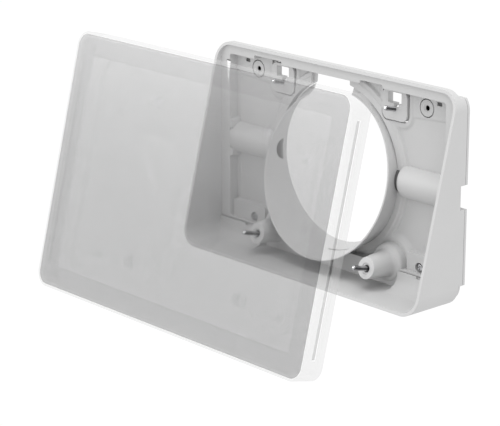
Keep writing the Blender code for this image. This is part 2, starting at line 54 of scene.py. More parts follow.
MM = 0.001
TILT = radians(14.05)
ST, CT = sin(TILT), cos(TILT)
RIM_C, COLLAR_C, SHELF_Y, HOOD_BACK = -25.6, -13.87, -9.3, -5.9
FLOOR_Y = -1.8
HOUSING, PANEL = "housing", "touch_panel"
col = bpy.context.scene.collection


def plane_y(c, z):
    return (c + z * ST) / CT


# ============================================================== materials
def noise_bump(nt, bsdf, scale, strength, distance, detail=3.0):
    tc = nt.nodes.new("ShaderNodeTexCoord")
    nz = nt.nodes.new("ShaderNodeTexNoise")
    nz.inputs["Scale"].default_value = scale
    nz.inputs["Detail"].default_value = detail
    bp = nt.nodes.new("ShaderNodeBump")
    bp.inputs["Strength"].default_value = strength
    bp.inputs["Distance"].default_value = distance
    nt.links.new(tc.outputs["Object"], nz.inputs["Vector"])
    nt.links.new(nz.outputs["Fac"], bp.inputs["Height"])
    nt.links.new(bp.outputs["Normal"], bsdf.inputs["Normal"])
    return tc, nz


def varied(nt, bsdf, tc, lo, hi, scale, rough_lo, rough_hi):
    """Soft colour and roughness drift over the surface."""
    nz = nt.nodes.new("ShaderNodeTexNoise")
    nz.inputs["Scale"].default_value = scale
    nz.inputs["Detail"].default_value = 4.0
    nt.links.new(tc.outputs["Object"], nz.inputs["Vector"])
    cr = nt.nodes.new("ShaderNodeValToRGB")
    cr.color_ramp.elements[0].position = 0.3
    cr.color_ramp.elements[1].position = 0.7
    cr.color_ramp.elements[0].color = (*lo, 1)
    cr.color_ramp.elements[1].color = (*hi, 1)
    nt.links.new(nz.outputs["Fac"], cr.inputs["Fac"])
    nt.links.new(cr.outputs["Color"], bsdf.inputs["Base Color"])
    mr = nt.nodes.new("ShaderNodeMapRange")
    mr.inputs["To Min"].default_value = rough_lo
    mr.inputs["To Max"].default_value = rough_hi
    nt.links.new(nz.outputs["Fac"], mr.inputs["Value"])
    nt.links.new(mr.outputs["Result"], bsdf.inputs["Roughness"])


def surface(name, rgb, spread=0.02, rough=(0.5, 0.6), metal=0.0, alpha=1.0,
            drift=45.0, grain=2600.0, bump=0.12, depth=0.00004, spec=0.5,
            coat=0.0, ior=1.5):
    m = bpy.data.materials.new(name)
    m.use_nodes = True
    nt = m.node_tree
    b = nt.nodes["Principled BSDF"]
    tc, _ = noise_bump(nt, b, grain, bump, depth)
    lo = tuple(c * (1 - spread) for c in rgb)
    hi = tuple(min(1.0, c * (1 + spread)) for c in rgb)
    varied(nt, b, tc, lo, hi, drift, *rough)
    b.inputs["Metallic"].default_value = metal
    b.inputs["Alpha"].default_value = alpha
    b.inputs["Specular IOR Level"].default_value = spec
    b.inputs["Coat Weight"].default_value = coat
    b.inputs["IOR"].default_value = ior
    m.diffuse_color = (*rgb, alpha)
    return m


SHELL_RGB = (0.66, 0.66, 0.66)
shell = surface("housing_grey_plastic", SHELL_RGB, 0.012, (0.50, 0.60),
                spec=0.35)
# painted shadow: a dark colour put into gaps, slots and bores where there is only shade
painted_shadow = surface("painted_shadow_dark", (0.10, 0.10, 0.10), 0.05)
steel = surface("stud_steel", (0.50, 0.50, 0.51), 0.05, (0.12, 0.20),
                metal=1.0, grain=900.0, bump=0.05)
# painted reflection: darker steel on the stud sides standing in for a dark reflection band
steel_painted_reflection = surface("stud_steel_painted_reflection", (0.11, 0.11, 0.115), 0.05,
                     (0.2, 0.3), metal=1.0, grain=900.0, bump=0.05)
screw_metal = surface("screw_steel", (0.42, 0.42, 0.43), 0.08, (0.25, 0.4),
                      metal=1.0, grain=1200.0, bump=0.1)

G_A = 0.497         # see-through share of the lifted-off panel's glass
B_A = 0.28          # and of its band
IN_A = 0.004        # pieces inside the panel
glass_front = surface("screen_black_glass", (0.006, 0.006, 0.007), 0.2,
                      (0.26, 0.30), alpha=G_A, drift=12.0, bump=0.0,
                      spec=0.5, ior=1.5)
glass_back = surface("screen_glass_rear", (0.01, 0.01, 0.012), 0.2,
                     (0.2, 0.3), alpha=0.01, bump=0.0)
border_ink = surface("border_ink", (0.004, 0.004, 0.005), 0.2, (0.6, 0.7),
                     alpha=0.034, bump=0.0, spec=0.0)
band_out = surface("band_white_plastic", (0.62, 0.62, 0.62), 0.02,
                   (0.4, 0.5), alpha=B_A)
# painted light: the band's left and bottom faces get a fainter copy of the band material,
# so their shading shows less
band_painted_light = surface("band_white_plastic_painted_light", (0.62, 0.62, 0.62), 0.02,
                   (0.4, 0.5), alpha=0.07)
band_in = surface("band_inner_plastic", (0.8, 0.8, 0.8), 0.02, (0.5, 0.6),
                  alpha=IN_A)
rear_mat = surface("rear_cover_plastic", (0.86, 0.86, 0.86), 0.02,
                   (0.5, 0.6), alpha=0.022)
slot_dark = surface("light_guide_smoke", (0.004, 0.004, 0.004), 0.2,
                    (0.3, 0.4), alpha=0.33, spec=0.2, bump=0.02)

slot_far = surface("light_guide_smoke_left", (0.004, 0.004, 0.004), 0.2,
                   (0.3, 0.4), alpha=0.10, spec=0.2, bump=0.02)


def inner(name, rgb, rough=(0.4, 0.6), metal=0.0, alpha=IN_A, **kw):
    return surface(name, rgb, 0.06, rough, metal=metal, alpha=alpha, **kw)


# ========================================================== shape helpers
def rrect(w, h, r, n=10, cx=0.0, cz=0.0):
    pts = []
    for sx, sz, a0 in ((1, 1, 0), (-1, 1, 90), (-1, -1, 180), (1, -1, 270)):
        for i in range(n + 1):
            a = radians(a0 + 90.0 * i / n)
            pts.append((cx + sx * (w / 2 - r) + r * cos(a),
                        cz + sz * (h / 2 - r) + r * sin(a)))
    return pts


def box_outline(x0, x1, z0, z1, r=0.0, n=5):
    if r > 0:
        return rrect(x1 - x0, z1 - z0, r, n, (x0 + x1) / 2, (z0 + z1) / 2)
    return [(x0, z0), (x1, z0), (x1, z1), (x0, z1)]


def circle(cx, cz, r, n=64):
    return [(cx + r * cos(2 * pi * i / n), cz + r * sin(2 * pi * i / n))
            for i in range(n)]


def link(name, me):
    ob = bpy.data.objects.new(name, me)
    col.objects.link(ob)
    return ob


def slab(name, loops, y0, y1, along="Y"):
    """Flat outline with holes, filled and extruded between y0 and y1."""
    cu = bpy.data.curves.new(name + "_outline", "CURVE")
    cu.dimensions = "2D"
    cu.fill_mode = "BOTH"
    cu.extrude = abs(y1 - y0) / 2 * MM
    for loop in loops:
        sp = cu.splines.new("POLY")
        sp.points.add(len(loop) - 1)
        for p, (a, b) in zip(sp.points, loop):
            p.co = (a * MM, b * MM, 0, 1)
        sp.use_cyclic_u = True
    tmp = link(name + "_curve", cu)
    bpy.context.view_layer.update()
    dg = bpy.context.evaluated_depsgraph_get()
    me = bpy.data.meshes.new_from_object(tmp.evaluated_get(dg))
    bpy.data.objects.remove(tmp, do_unlink=True)
    bm = bmesh.new()
    bm.from_mesh(me)
    bmesh.ops.remove_doubles(bm, verts=bm.verts, dist=1e-6)
    if along == "Y":
        turn = Matrix.Rotation(pi / 2, 4, "X")
        shift = Matrix.Translation((0, (y0 + y1) / 2 * MM, 0))
    elif along == "X":
        turn = Matrix(((0, 0, 1, 0), (1, 0, 0, 0), (0, 1, 0, 0),
                       (0, 0, 0, 1)))
        shift = Matrix.Translation(((y0 + y1) / 2 * MM, 0, 0))
    else:
        turn = Matrix.Identity(4)
        shift = Matrix.Translation((0, 0, (y0 + y1) / 2 * MM))
    bm.transform(shift @ turn)
    bmesh.ops.recalc_face_normals(bm, faces=bm.faces)
    bm.to_mesh(me)
    bm.free()
    return link(name, me)


def turned(name, prof, x, z, n=64, tilted=False):
    """Solid of revolution about a line along the depth axis.
    prof is a list of (y, r) from back to front; tilted profiles use the
    depth across the tilted plane and the height along it."""
    bm = bmesh.new()
    rows = []
    for y, r in prof:
        if r <= 1e-6:
            rows.append([bm.verts.new((x * MM, y * MM, z * MM))])
        else:
            rows.append([bm.verts.new(((x + r * cos(2 * pi * i / n)) * MM,
                                       y * MM,
                                       (z + r * sin(2 * pi * i / n)) * MM))
                         for i in range(n)])
    for a, b in zip(rows, rows[1:]):
        for i in range(n):
            j = (i + 1) % n
            if len(a) == 1 and len(b) == 1:
                continue
            if len(a) == 1:
                bm.faces.new((a[0], b[i], b[j]))
            elif len(b) == 1:
                bm.faces.new((a[i], a[j], b[0]))
            else:
                bm.faces.new((a[i], a[j], b[j], b[i]))
    for row in (rows[0], rows[-1]):
        if len(row) > 1:
            bm.faces.new(row)
    if tilted:
        bm.transform(Matrix.Rotation(-TILT, 4, "X"))
    bmesh.ops.recalc_face_normals(bm, faces=bm.faces)
    me = bpy.data.meshes.new(name)
    bm.to_mesh(me)
    bm.free()
    return link(name, me)


def boolean(ob, other, op):
    bpy.context.view_layer.update()
    m = ob.modifiers.new(op.lower(), "BOOLEAN")
    m.operation = op
    m.solver = "EXACT"
    m.object = other
    dg = bpy.context.evaluated_depsgraph_get()
    me = bpy.data.meshes.new_from_object(ob.evaluated_get(dg))
    ob.modifiers.remove(m)
    ob.data = me
    bpy.data.objects.remove(other, do_unlink=True)


def cut(ob, other):
    boolean(ob, other, "DIFFERENCE")


def join(ob, other):
    boolean(ob, other, "UNION")


def clip(ob, other):
    boolean(ob, other, "INTERSECT")


def clean(ob):
    bm = bmesh.new()
    bm.from_mesh(ob.data)
    bmesh.ops.remove_doubles(bm, verts=bm.verts, dist=2e-6)
    bmesh.ops.dissolve_limit(bm, angle_limit=radians(0.4), verts=bm.verts,
                             edges=bm.edges)
    bm.to_mesh(ob.data)
    bm.free()


def soften(ob, width, segs=3, angle=35):
    """Rounded edges, applied, then smooth shading with sharp creases."""
    clean(ob)
    if width > 0:
        bv = ob.modifiers.new("edge", "BEVEL")
        bv.width = width * MM
        bv.segments = segs
        bv.limit_method = "ANGLE"
        bv.angle_limit = radians(angle)
        bv.use_clamp_overlap = True
        dg = bpy.context.evaluated_depsgraph_get()
        me = bpy.data.meshes.new_from_object(ob.evaluated_get(dg))
        ob.modifiers.remove(bv)
        ob.data = me
    smooth(ob, 40)
    return ob


def smooth(ob, angle=40):
    ob.data.shade_smooth()
    ob.data.set_sharp_from_angle(angle=radians(angle))
    wn = ob.modifiers.new("normals", "WEIGHTED_NORMAL")
    wn.keep_sharp = True
    wn.weight = 60
    return ob


def dress(ob, mats, body, slot, *nodes):
    ob.data.materials.clear()
    for m in (mats if isinstance(mats, (list, tuple)) else [mats]):
        ob.data.materials.append(m)
    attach(ob, body)
    if nodes:
        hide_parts(*nodes)
    return ob


def front_of(c, z0=-130.0, z1=130.0, y_far=-260.0):
    prof = [(plane_y(c, z0), z0), (y_far, z0), (y_far, z1),
            (plane_y(c, z1), z1)]
    return slab("front_cut", [prof], -170, 170, along="X")


# ============================================================ camera first
cam_data = bpy.data.cameras.new("camera")
cam = bpy.data.objects.new("camera", cam_data)
col.objects.link(cam)
az, el = radians(48.015), radians(16.281)
back = Vector((sin(az) * cos(el), -cos(az) * cos(el), sin(el)))
cam.location = (0.8999, -0.8884, 0.3355)
cam.rotation_mode = "QUATERNION"
cam.rotation_quaternion = (-back).to_track_quat("-Z", "Y")
cam_data.sensor_width = 36.0
cam_data.lens = 147.59
cam_data.clip_start, cam_data.clip_end = 0.05, 50.0
bpy.context.scene.camera = cam

# ================================================================ housing
HW, HT, HB, HR, WALL = 215.4, 65.3, -68.8, 12.4, 2.0
HC = (HT + HB) / 2
N_RING = 180


def rim_point(a, r, c=COLLAR_C, zc=-4.96):
    z = zc + r * sin(a) * CT
    return Vector((r * cos(a), plane_y(c, z), z))


def collar_point(a, r_back, r_rim, t, c=COLLAR_C):
    p1 = rim_point(a, r_rim, c)
    x0, z0 = r_back * cos(a), r_back * sin(a)
    return Vector((x0 + (p1.x - x0) * t, p1.y * t, z0 + (p1.z - z0) * t))


# --- hood --------------------------------------------------------------
profile = [(plane_y(RIM_C, -90), -90), (HOOD_BACK, -90),
           (HOOD_BACK, -55.6), (-2.1, -55.6), (-2.1, 60.7),
           (HOOD_BACK, 60.7), (HOOD_BACK, 68), (plane_y(RIM_C, 68), 68)]
hood = slab("hood_shell", [profile], -130, 130, along="X")
clip(hood, slab("prism", [rrect(HW, HT - HB, HR, 14, 0, HC)], -90, 5))
# cavity: draws in slightly from the rim to the inner flange
cav_f = rrect(HW - 2 * WALL, HT - HB - 2 * WALL, HR - WALL, 14, 0, HC)
cut(hood, slab("cavity", [cav_f], -100, SHELF_Y))
cut(hood, slab("opening", [box_outline(-97, 97, -54.3, 57.3, 2.0, 4)],
               -20, 10))
cut(hood, slab("cut_l", [box_outline(-73, -47, 40, 59.6, 0.8, 3)], -20, 10))
cut(hood, slab("cut_r", [box_outline(24.5, 44, 40, 59.4, 0.8, 3)], -20, 10))
for s in (-1, 1):
    cut(hood, slab("notch", [box_outline(s * 109 - 14, s * 109 + 14, -7.6,
                                         7.6, 2.4, 5)], HOOD_BACK, 6))
    win = slab("corner_window", [[(s * 98.9, 36.0), (s * 97.8, 41.4),
                                  (s * 95.9, 53.1), (s * 99.8, 53.1)]],
               -16.0, 3.0 if s < 0 else -6.4)
    for v in win.data.vertices:            # runs outwards and down
        v.co.x -= 1.111 * (v.co.y + 0.0093) * (s < 0)
        v.co.z -= 0.437 * (v.co.y + 0.0093) * (s < 0)
    if s < 0:
        cut(hood, win)
    else:
        bpy.data.objects.remove(win)
    cut(hood, slab("rect", [box_outline(s * 85.9 - 2.1, s * 85.9 + 2.1,
                                        52.4, 59.0)], -6, 10))
soften(hood, 0.45)
dress(hood, shell, HOUSING, "housing_plastic", "housing_hood")

# --- back plate: seen from behind ---------------------------------------
plate_mat = surface("back_plate_plastic", SHELL_RGB, 0.012, (0.5, 0.6),
                    spec=0.35)

X_TOP = HW / 2 - HR + sqrt(HR ** 2 - (60.7 - (HT - HR)) ** 2)
outline = [(-HW / 2, -55.6), (HW / 2, -55.6), (HW / 2, HT - HR)]
for i in range(1, 9):
    zz = HT - HR + (60.7 - HT + HR) * i / 8
    outline.append((HW / 2 - HR + sqrt(HR ** 2 - (zz - HT + HR) ** 2), zz))
outline += [(-x, z) for x, z in reversed(outline[2:])]
plate = slab("back_plate", [outline], -1.78, 0.0)
cut(plate, turned("opening", [(-9, 54.0), (5, 54.0)], 0, 0, 180))
GAP_L = [(-27.6, 35.0), (-27.0, 39.7), (-25.2, 43.9), (-24.3, 47.3),
         (-22.5, 49.6), (-22.0, 57.0), (10.7, 57.0), (10.7, 36)]
cut(plate, slab("gap", [GAP_L], -9, 5))
for s in (-1, 1):
    cut(plate, slab("notch", [box_outline(s * 104 - 14, s * 104 + 14, -7.6,
                                          7.6, 2.4, 5)], -9, 5))
    cut(plate, slab("tab_seat", [box_outline(s * 50.3 - 11.3,
                                             s * 50.3 + 11.3, 36.7, 57.3,
                                             5.2, 8)], -9, 5))
    cut(plate, turned("bush_hole", [(-9, 1.9), (5, 1.9)], s * 75.6, 49.4,
                      32))
    cut(plate, slab("rect", [box_outline(s * 85.9 - 2.1, s * 85.9 + 2.1,
                                         52.5, 54.7)], -9, -0.6))
    if s < 0:
        win = slab("corner_window", [[(s * 98.9, 36.0), (s * 97.8, 41.4),
                                      (s * 95.9, 53.1), (s * 99.8, 53.1)]],
                   -16.0, 3.0)
        for v in win.data.vertices:
            v.co.x -= 1.111 * (v.co.y + 0.0093)
            v.co.z -= 0.437 * (v.co.y + 0.0093)
        cut(plate, win)
soften(plate, 0.3, 2, 40)
dress(plate, plate_mat, HOUSING, "housing_plastic", "wall_plate")

# --- relief on the front of the back plate -------------------------------
STEP = 0.5
gx = np.arange(-97.6, 97.6 + 1e-6, STEP)
gz = np.arange(-55.0, 58.6 + 1e-6, STEP)
X, Z = np.meshgrid(gx, gz, indexing="ij")
AX = np.abs(X)


def sstep(d, w):
    """1 inside (d < 0), easing to 0 over the width w outside."""
    t = np.clip(-d / w + 0.5, 0, 1)
    return t * t * (3 - 2 * t)


def sd_box(px, pz, cx, cz, hx, hz, r):
    qx = np.abs(px - cx) - hx + r
    qz = np.abs(pz - cz) - hz + r
    return (np.hypot(np.maximum(qx, 0), np.maximum(qz, 0)) +
            np.minimum(np.maximum(qx, qz), 0) - r)


def sd_line(px, pz, pts):
    d = np.full_like(px, 1e9)
    for (ax, az_), (bx, bz) in zip(pts, pts[1:]):
        vx, vz = bx - ax, bz - az_
        t = np.clip(((px - ax) * vx + (pz - az_) * vz) /
                    (vx * vx + vz * vz), 0, 1)
        d = np.minimum(d, np.hypot(px - ax - t * vx, pz - az_ - t * vz))
    return d


def smax(a, b, k):
    h = np.clip(0.5 + 0.5 * (a - b) / k, 0, 1)
    return b + (a - b) * h + k * h * (1 - h)


R = np.hypot(X, Z)
H = np.zeros_like(X)
# flange ring round the collar
H = np.maximum(H, 2.0 * sstep(R - 61.7, 1.6))
H = np.maximum(H, 2.45 * sstep(R - 58.6, 0.8))
# raised upper region, 1 mm proud, with soft lower edge
upper = 1.1 * sstep((41.6 + (AX - 67.8) * 0.07) - Z, 1.6)
upper *= sstep(63.0 - AX, 4.0)
H = np.maximum(H, upper)
# boss round each spring tab
boss = sd_box(AX, Z, 50.3, 48.0, 14.2, 15.0, 9.0)
H = smax(H, 1.6 * sstep(boss, 2.4), 0.3)
# side strips between the inner flange and the floor
H = np.maximum(H, 0.7 * sstep(92.8 - AX, 0.8) * (Z > -60))
# root flares round the posts
rp = np.hypot(AX - 50.3, Z + 52.9)
H = smax(H, 2.6 * sstep(rp - 17.6, 6.0) * sstep(Z + 33.0, 3.0), 0.8)
# raised pad under the screws with its soft upper edge
pad = sd_box(AX, Z, 80.4, -50.0, 16.4, 7.6, 1.6)
H = smax(H, 4.0 * sstep(pad, 1.2), 0.5)
# end blocks where the ducts reach the inner flange
blk = sd_box(AX, Z, 100.0, 0.4, 6.0, 12.9, 1.2)
H = np.maximum(H, 7.4 * sstep(blk, 1.0))
# clear bores under the duct covers
H = np.where((np.abs(Z) < 7.1) & (AX > 50) & (AX < 95), 0.0, H)
Yf = FLOOR_Y - H

# openings: a signed distance, negative inside a hole
hole = R - 54.0
hole = np.minimum(hole, sd_box(AX, Z, 50.3, 50.0, 11.35, 13.35, 5.2))
hole = np.minimum(hole, sd_box(X, Z, -6.85, 48.0, 17.55, 14.0, 0.5))
hole = np.minimum(hole, np.hypot(AX - 75.6, Z - 49.4) - 5.95)
hole = np.minimum(hole, sd_box(AX, Z, 85.9, 53.6, 2.1, 1.15, 0.2))
hole = np.minimum(hole, sd_box(AX, Z, 77.5, -55.2, 1.9, 1.2, 0.3))
hole = np.minimum(hole, np.hypot(AX - 75.6, Z + 51.2) - 3.3)
hole = np.minimum(hole, sd_box(AX, Z, 99.2, 0.0, 4.4, 7.3, 2.0)
                  + 3.0 * (Yf < -2.0) * 0)


def relief(name, xs, zs, front, sdf, back_y):
    """Closed slab: sculpted front, flat back, trimmed along sdf = 0."""
    keep = (sdf[:-1, :-1] > 0) & (sdf[1:, :-1] > 0) & \
           (sdf[:-1, 1:] > 0) & (sdf[1:, 1:] > 0)
    nx, nz = len(xs), len(zs)
    gxd, gzd = np.gradient(sdf, STEP)
    used = np.zeros((nx, nz), bool)
    used[:-1, :-1] |= keep
    used[1:, :-1] |= keep
    used[:-1, 1:] |= keep
    used[1:, 1:] |= keep
    full = np.zeros((nx, nz), int)
    full[:-1, :-1] += keep
    full[1:, :-1] += keep
    full[:-1, 1:] += keep
    full[1:, 1:] += keep
    edge = used & (full < 4)
    edge[0, :] = edge[-1, :] = edge[:, 0] = edge[:, -1] = False
    px, pz = np.meshgrid(xs, zs, indexing="ij")
    d = np.where(edge, np.clip(sdf, -STEP, STEP), 0)
    px = px - d * gxd
    pz = pz - d * gzd
    idx = -np.ones((nx, nz), int)
    idx[used] = np.arange(used.sum())
    nv = int(used.sum())
    f = np.stack([px[used], front[used], pz[used]], 1) * MM
    b = np.stack([px[used], np.full(nv, back_y), pz[used]], 1) * MM
    verts = np.vstack([f, b])
    i, j = np.nonzero(keep)
    q = np.stack([idx[i, j], idx[i + 1, j], idx[i + 1, j + 1],
                  idx[i, j + 1]], 1)
    faces = [q, q[:, ::-1] + nv]
    pk = np.pad(keep, 1)
    for di, dj, a, c in ((0, -1, (0, 0), (1, 0)), (0, 1, (1, 1), (0, 1)),
                         (-1, 0, (0, 1), (0, 0)), (1, 0, (1, 0), (1, 1))):
        nb = pk[1 + i + di, 1 + j + dj]
        ii, jj = i[~nb], j[~nb]
        va = idx[ii + a[0], jj + a[1]]
        vc = idx[ii + c[0], jj + c[1]]
        faces.append(np.stack([vc, va, va + nv, vc + nv], 1))
    faces = np.vstack(faces)
    me = bpy.data.meshes.new(name)
    me.from_pydata(verts.tolist(), [], faces.tolist())
    me.update()
    bm = bmesh.new()
    bm.from_mesh(me)
    bmesh.ops.recalc_face_normals(bm, faces=bm.faces)
    bm.to_mesh(me)
    bm.free()
    return link(name, me)


floor_relief = relief("inner_floor", gx, gz, Yf, hole, -1.5)
floor_relief.data.shade_smooth()
floor_relief.data.set_sharp_from_angle(angle=radians(50))
dress(floor_relief, shell, HOUSING, "housing_plastic")

# --- collar --------------------------------------------------------------
ang = [2 * pi * (i + 0.5) / N_RING for i in range(N_RING)]
sections = []
rim_r = 0.6
C_WALL = COLLAR_C + 0.55
for t in (0.0, 0.25, 0.5, 0.75, 0.97):
    sections.append([collar_point(a, 51.4, 53.8, t, C_WALL) for a in ang])
for k in range(7):                         # rounded front edge
    u = pi * k / 6
    sec = []
    for a in ang:
        mid = rim_point(a, 54.4, COLLAR_C + rim_r * 0.8)
        p = rim_point(a, 54.4 - rim_r * cos(u), COLLAR_C + rim_r * 0.8)
        p = mid + (p - mid)
        n = Vector((0, -CT, ST))
        sec.append(p + n * rim_r * 0.8 * sin(u))
    sections.append(sec)
for t in (0.97, 0.6, 0.3, 0.0):
    sections.append([collar_point(a, 53.6, 55.0, t, C_WALL) for a in ang])
bm = bmesh.new()
rows = [[bm.verts.new(p * MM) for p in sec] for sec in sections]
for i in range(len(rows)):
    a, b = rows[i], rows[(i + 1) % len(rows)]
    for j in range(N_RING):
        q = (j + 1) % N_RING
        bm.faces.new((a[j], a[q], b[q], b[j]))
bmesh.ops.recalc_face_normals(bm, faces=bm.faces)
me = bpy.data.meshes.new("collar_ring")
bm.to_mesh(me)
bm.free()
collar = link("collar_ring", me)
# the gap in the top: a slanted left cheek and an upright right one
cut(collar, slab("gap", [[(-27.6, 35.0), (-27.0, 39.7), (-25.2, 43.9),
                          (-24.3, 47.3), (-22.5, 49.6), (-18.0, 52.6),
                          (-18.0, 70), (10.7, 70), (10.7, 36)]], -60, 10))
for s in (-1, 1):
    prof = [(-2.7, -7.0), (-2.7, 7.0)] + \
           [(-2.7 - 5.2 * sin(pi * i / 12), 7.0 * cos(pi * i / 12))
            for i in range(1, 12)]
    cut(collar, slab("mouth", [prof], s * 57 - 12, s * 57 + 12, along="X"))
cut(collar, slab("drain", [box_outline(2.1, 20.7, -80, -40)], -13.9, -12.4))
clean(collar)
smooth(collar, 38)
dress(collar, shell, HOUSING, "housing_plastic", "cable_collar")

# --- ducts ----------------------------------------------------------------
for s, side in ((-1, "left"), (1, "right")):
    bm = bmesh.new()
    n = 28
    stations = [(53.3, 8.0), (56.4, 8.3)]
    for k in range(7):                     # rounded inner end
        u = k / 6
        stations.append((57.0 + 2.8 * u,
                         10.55 - 1.9 * (1 - sqrt(max(0.0, 1 - (1 - u) ** 2)))
                         ))
    stations += [(86.0, 10.55), (91.0, 10.7), (96.7, 11.0)]
    rows = []
    for xs_, r in stations:
        row = []
        for i in range(n + 1):
            u = pi * i / n
            yy = r * sin(u)
            zz = -r * cos(u)
            # slightly squarer arch, standing clear of the floor
            row.append(bm.verts.new((s * xs_ * MM,
                                     (-1.0 - yy * 0.84) * MM, zz * MM)))
        rows.append(row)
    inner_rows = []
    for xs_, r in (stations[0], stations[-1]):
        row = []
        for i in range(n + 1):
            u = pi * i / n
            row.append(bm.verts.new((s * xs_ * MM,
                                     (-1.0 - 7.0 * sin(u) * 0.9) * MM,
                                     (-7.3 * cos(u)) * MM)))
        inner_rows.append(row)
    for a, b in zip(rows, rows[1:]):
        for i in range(n):
            bm.faces.new((a[i], a[i + 1], b[i + 1], b[i]))
    a, b = inner_rows
    for i in range(n):
        bm.faces.new((a[i + 1], a[i], b[i], b[i + 1]))
        bm.faces.new((rows[0][i + 1], rows[0][i], a[i], a[i + 1]))
        bm.faces.new((rows[-1][i], rows[-1][i + 1], b[i + 1], b[i]))
    for i in (0, n):                       # feet
        ring = [r_[i] for r_ in rows] + [b[i], a[i]]
        bm.faces.new(ring)
    bmesh.ops.recalc_face_normals(bm, faces=bm.faces)
    me = bpy.data.meshes.new("duct")
    bm.to_mesh(me)
    bm.free()
    duct = link("cable_duct_" + side, me)
    smooth(duct, 50)
    dress(duct, [shell, painted_shadow], HOUSING, "housing_plastic",
          "duct_cover_" + side)
    for p in duct.data.polygons:           # painted shade on the unlit bore
        r_ = sqrt((p.center.y + 0.001) ** 2 + p.center.z ** 2)
        p.material_index = int(r_ < 0.0078 and abs(p.normal.x) < 0.5)

# --- posts with studs ------------------------------------------------------
def paint_reflection_band(ob):
    """Side faces of a stud get the darker steel: a painted dark reflection band."""
    for p in ob.data.polygons:
        p.material_index = int(-0.45 < p.normal.z < 0.42 and
                               abs(p.normal.y) < 0.75)


LOW_V = plane_y(COLLAR_C, -52.9) * ST - 52.9 * CT
for s, side in ((-1, "left"), (1, "right")):
    x = s * 50.3
    prof = [(-1.9, 13.6), (-4.6, 12.9), (-7.6, 12.5), (-8.9, 12.1),
            (-9.8, 11.2), (-10.1, 10.3), (-10.5, 9.3), (-11.6, 8.6),
            (-13.0, 8.3), (-22.0, 7.3), (-45.0, 4.9)]
    post = turned("stud_post_" + side, prof, x, -52.9, 72)
    trim = slab("post_low", [box_outline(-90, 90, -90, -66.6)], -60, 5)
    cut(post, trim)
    cut(post, front_of(COLLAR_C))
    bore = turned("counterbore", [(COLLAR_C - 5, 3.5), (COLLAR_C + 0.6, 3.5),
                                  (COLLAR_C + 0.6, 2.45),
                                  (COLLAR_C + 3.6, 2.45)], x, LOW_V, 40, True)
    cut(post, bore)
    soften(post, 0.75, 4, 32)
    dress(post, shell, HOUSING, "housing_plastic", "post_" + side)
    L0, L1 = COLLAR_C + 5.5, RIM_C + 0.05
    st = turned("lower_stud_" + side,
                [(L0, 0), (L0, 1.6), (L1 + 1.3, 1.6), (L1 + 0.75, 1.5),
                 (L1 + 0.35, 1.25), (L1 + 0.1, 0.9), (L1, 0.5), (L1, 0)],
                x, LOW_V, 40, True)
    smooth(st, 35)
    dress(st, [steel, steel_painted_reflection], HOUSING, "stud_steel",
          "stud_lower_" + side)
    paint_reflection_band(st)

# --- spring tabs with the upper studs ---------------------------------------
TOP_V = -1.4 * ST + 43.9 * CT
for s, side in ((-1, "left"), (1, "right")):
    x = s * 50.3
    tab = slab("spring_tab_" + side,
               [box_outline(x - 10.45, x + 10.45, 37.6, 56.9, 4.4, 8)],
               -4.8, -0.2)
    cut(tab, slab("window", [box_outline(x - 5.7, x + 5.7, 48.3, 55.2,
                                         0.4, 2)], -9, 5))
    cut(tab, slab("latch_hole", [box_outline(x - 0.4, x + 3.4, 46.0, 49.0)],
                  -9, 5))
    # the stud's seat: a short round recess
    rec = turned("seat", [(-14.0, 2.9), (-4.1 + 1.4, 2.9)], x, TOP_V, 32,
                 True)
    cut(tab, rec)
    soften(tab, 0.35, 3, 35)
    dress(tab, shell, "tab_" + side, "housing_plastic", "stud_tab_" + side)
    L0, L1 = -12.6, -24.35
    st = turned("upper_stud_" + side,
                [(L0, 0), (L0, 1.6), (L1 + 1.3, 1.6), (L1 + 0.75, 1.5),
                 (L1 + 0.35, 1.25), (L1 + 0.1, 0.9), (L1, 0.5), (L1, 0)],
                x, TOP_V, 40, True)
    smooth(st, 35)
    dress(st, [steel, steel_painted_reflection], "tab_" + side, "stud_steel",
          "stud_upper_" + side)
    paint_reflection_band(st)

# --- painted shade: dark pieces in the unlit depths of the narrow gaps ----
for s, side in ((-1, "left"), (1, "right")):
    pad_ = slab("slot_painted_shade_" + side,
                [box_outline(s * 85.9 - 2.0, s * 85.9 + 2.0, 52.6, 54.7)],
                -1.95, -1.7)
    dress(pad_, painted_shadow, HOUSING, "housing_plastic")
    gap = turned("bush_gap_painted_shade_" + side,
                 [(-1.7, 5.37), (-1.7, 5.93), (-2.0, 5.93), (-2.0, 5.37),
                  (-1.7, 5.37)], s * 75.6, 49.4, 48)
    dress(gap, painted_shadow, HOUSING, "housing_plastic")
    screw_well_shade = turned("screw_well_painted_shade_" + side,
                   [(-3.3, 2.22), (-3.3, 3.28), (-3.7, 3.28), (-3.7, 2.22),
                    (-3.3, 2.22)], s * 75.6, -51.2, 48)
    dress(screw_well_shade, painted_shadow, HOUSING, "housing_plastic")

# --- wall-screw bushes --------------------------------------------------------
for s, side in ((-1, "left"), (1, "right")):
    xb = s * 75.6
    bush = turned("wall_screw_bush_" + side,
                  [(-0.2, 5.35), (-2.7, 5.35), (-2.95, 5.25), (-3.05, 5.05),
                   (-3.05, 3.0), (-2.95, 2.8), (-2.3, 1.75), (-2.3, 0)],
                  xb, 49.4, 64)
    cut(bush, turned("hole", [(-9, 1.7), (5, 1.7)], xb, 49.4, 32))
    clean(bush)
    smooth(bush, 30)
    dress(bush, shell, HOUSING, "housing_plastic", "screw_bush_" + side)

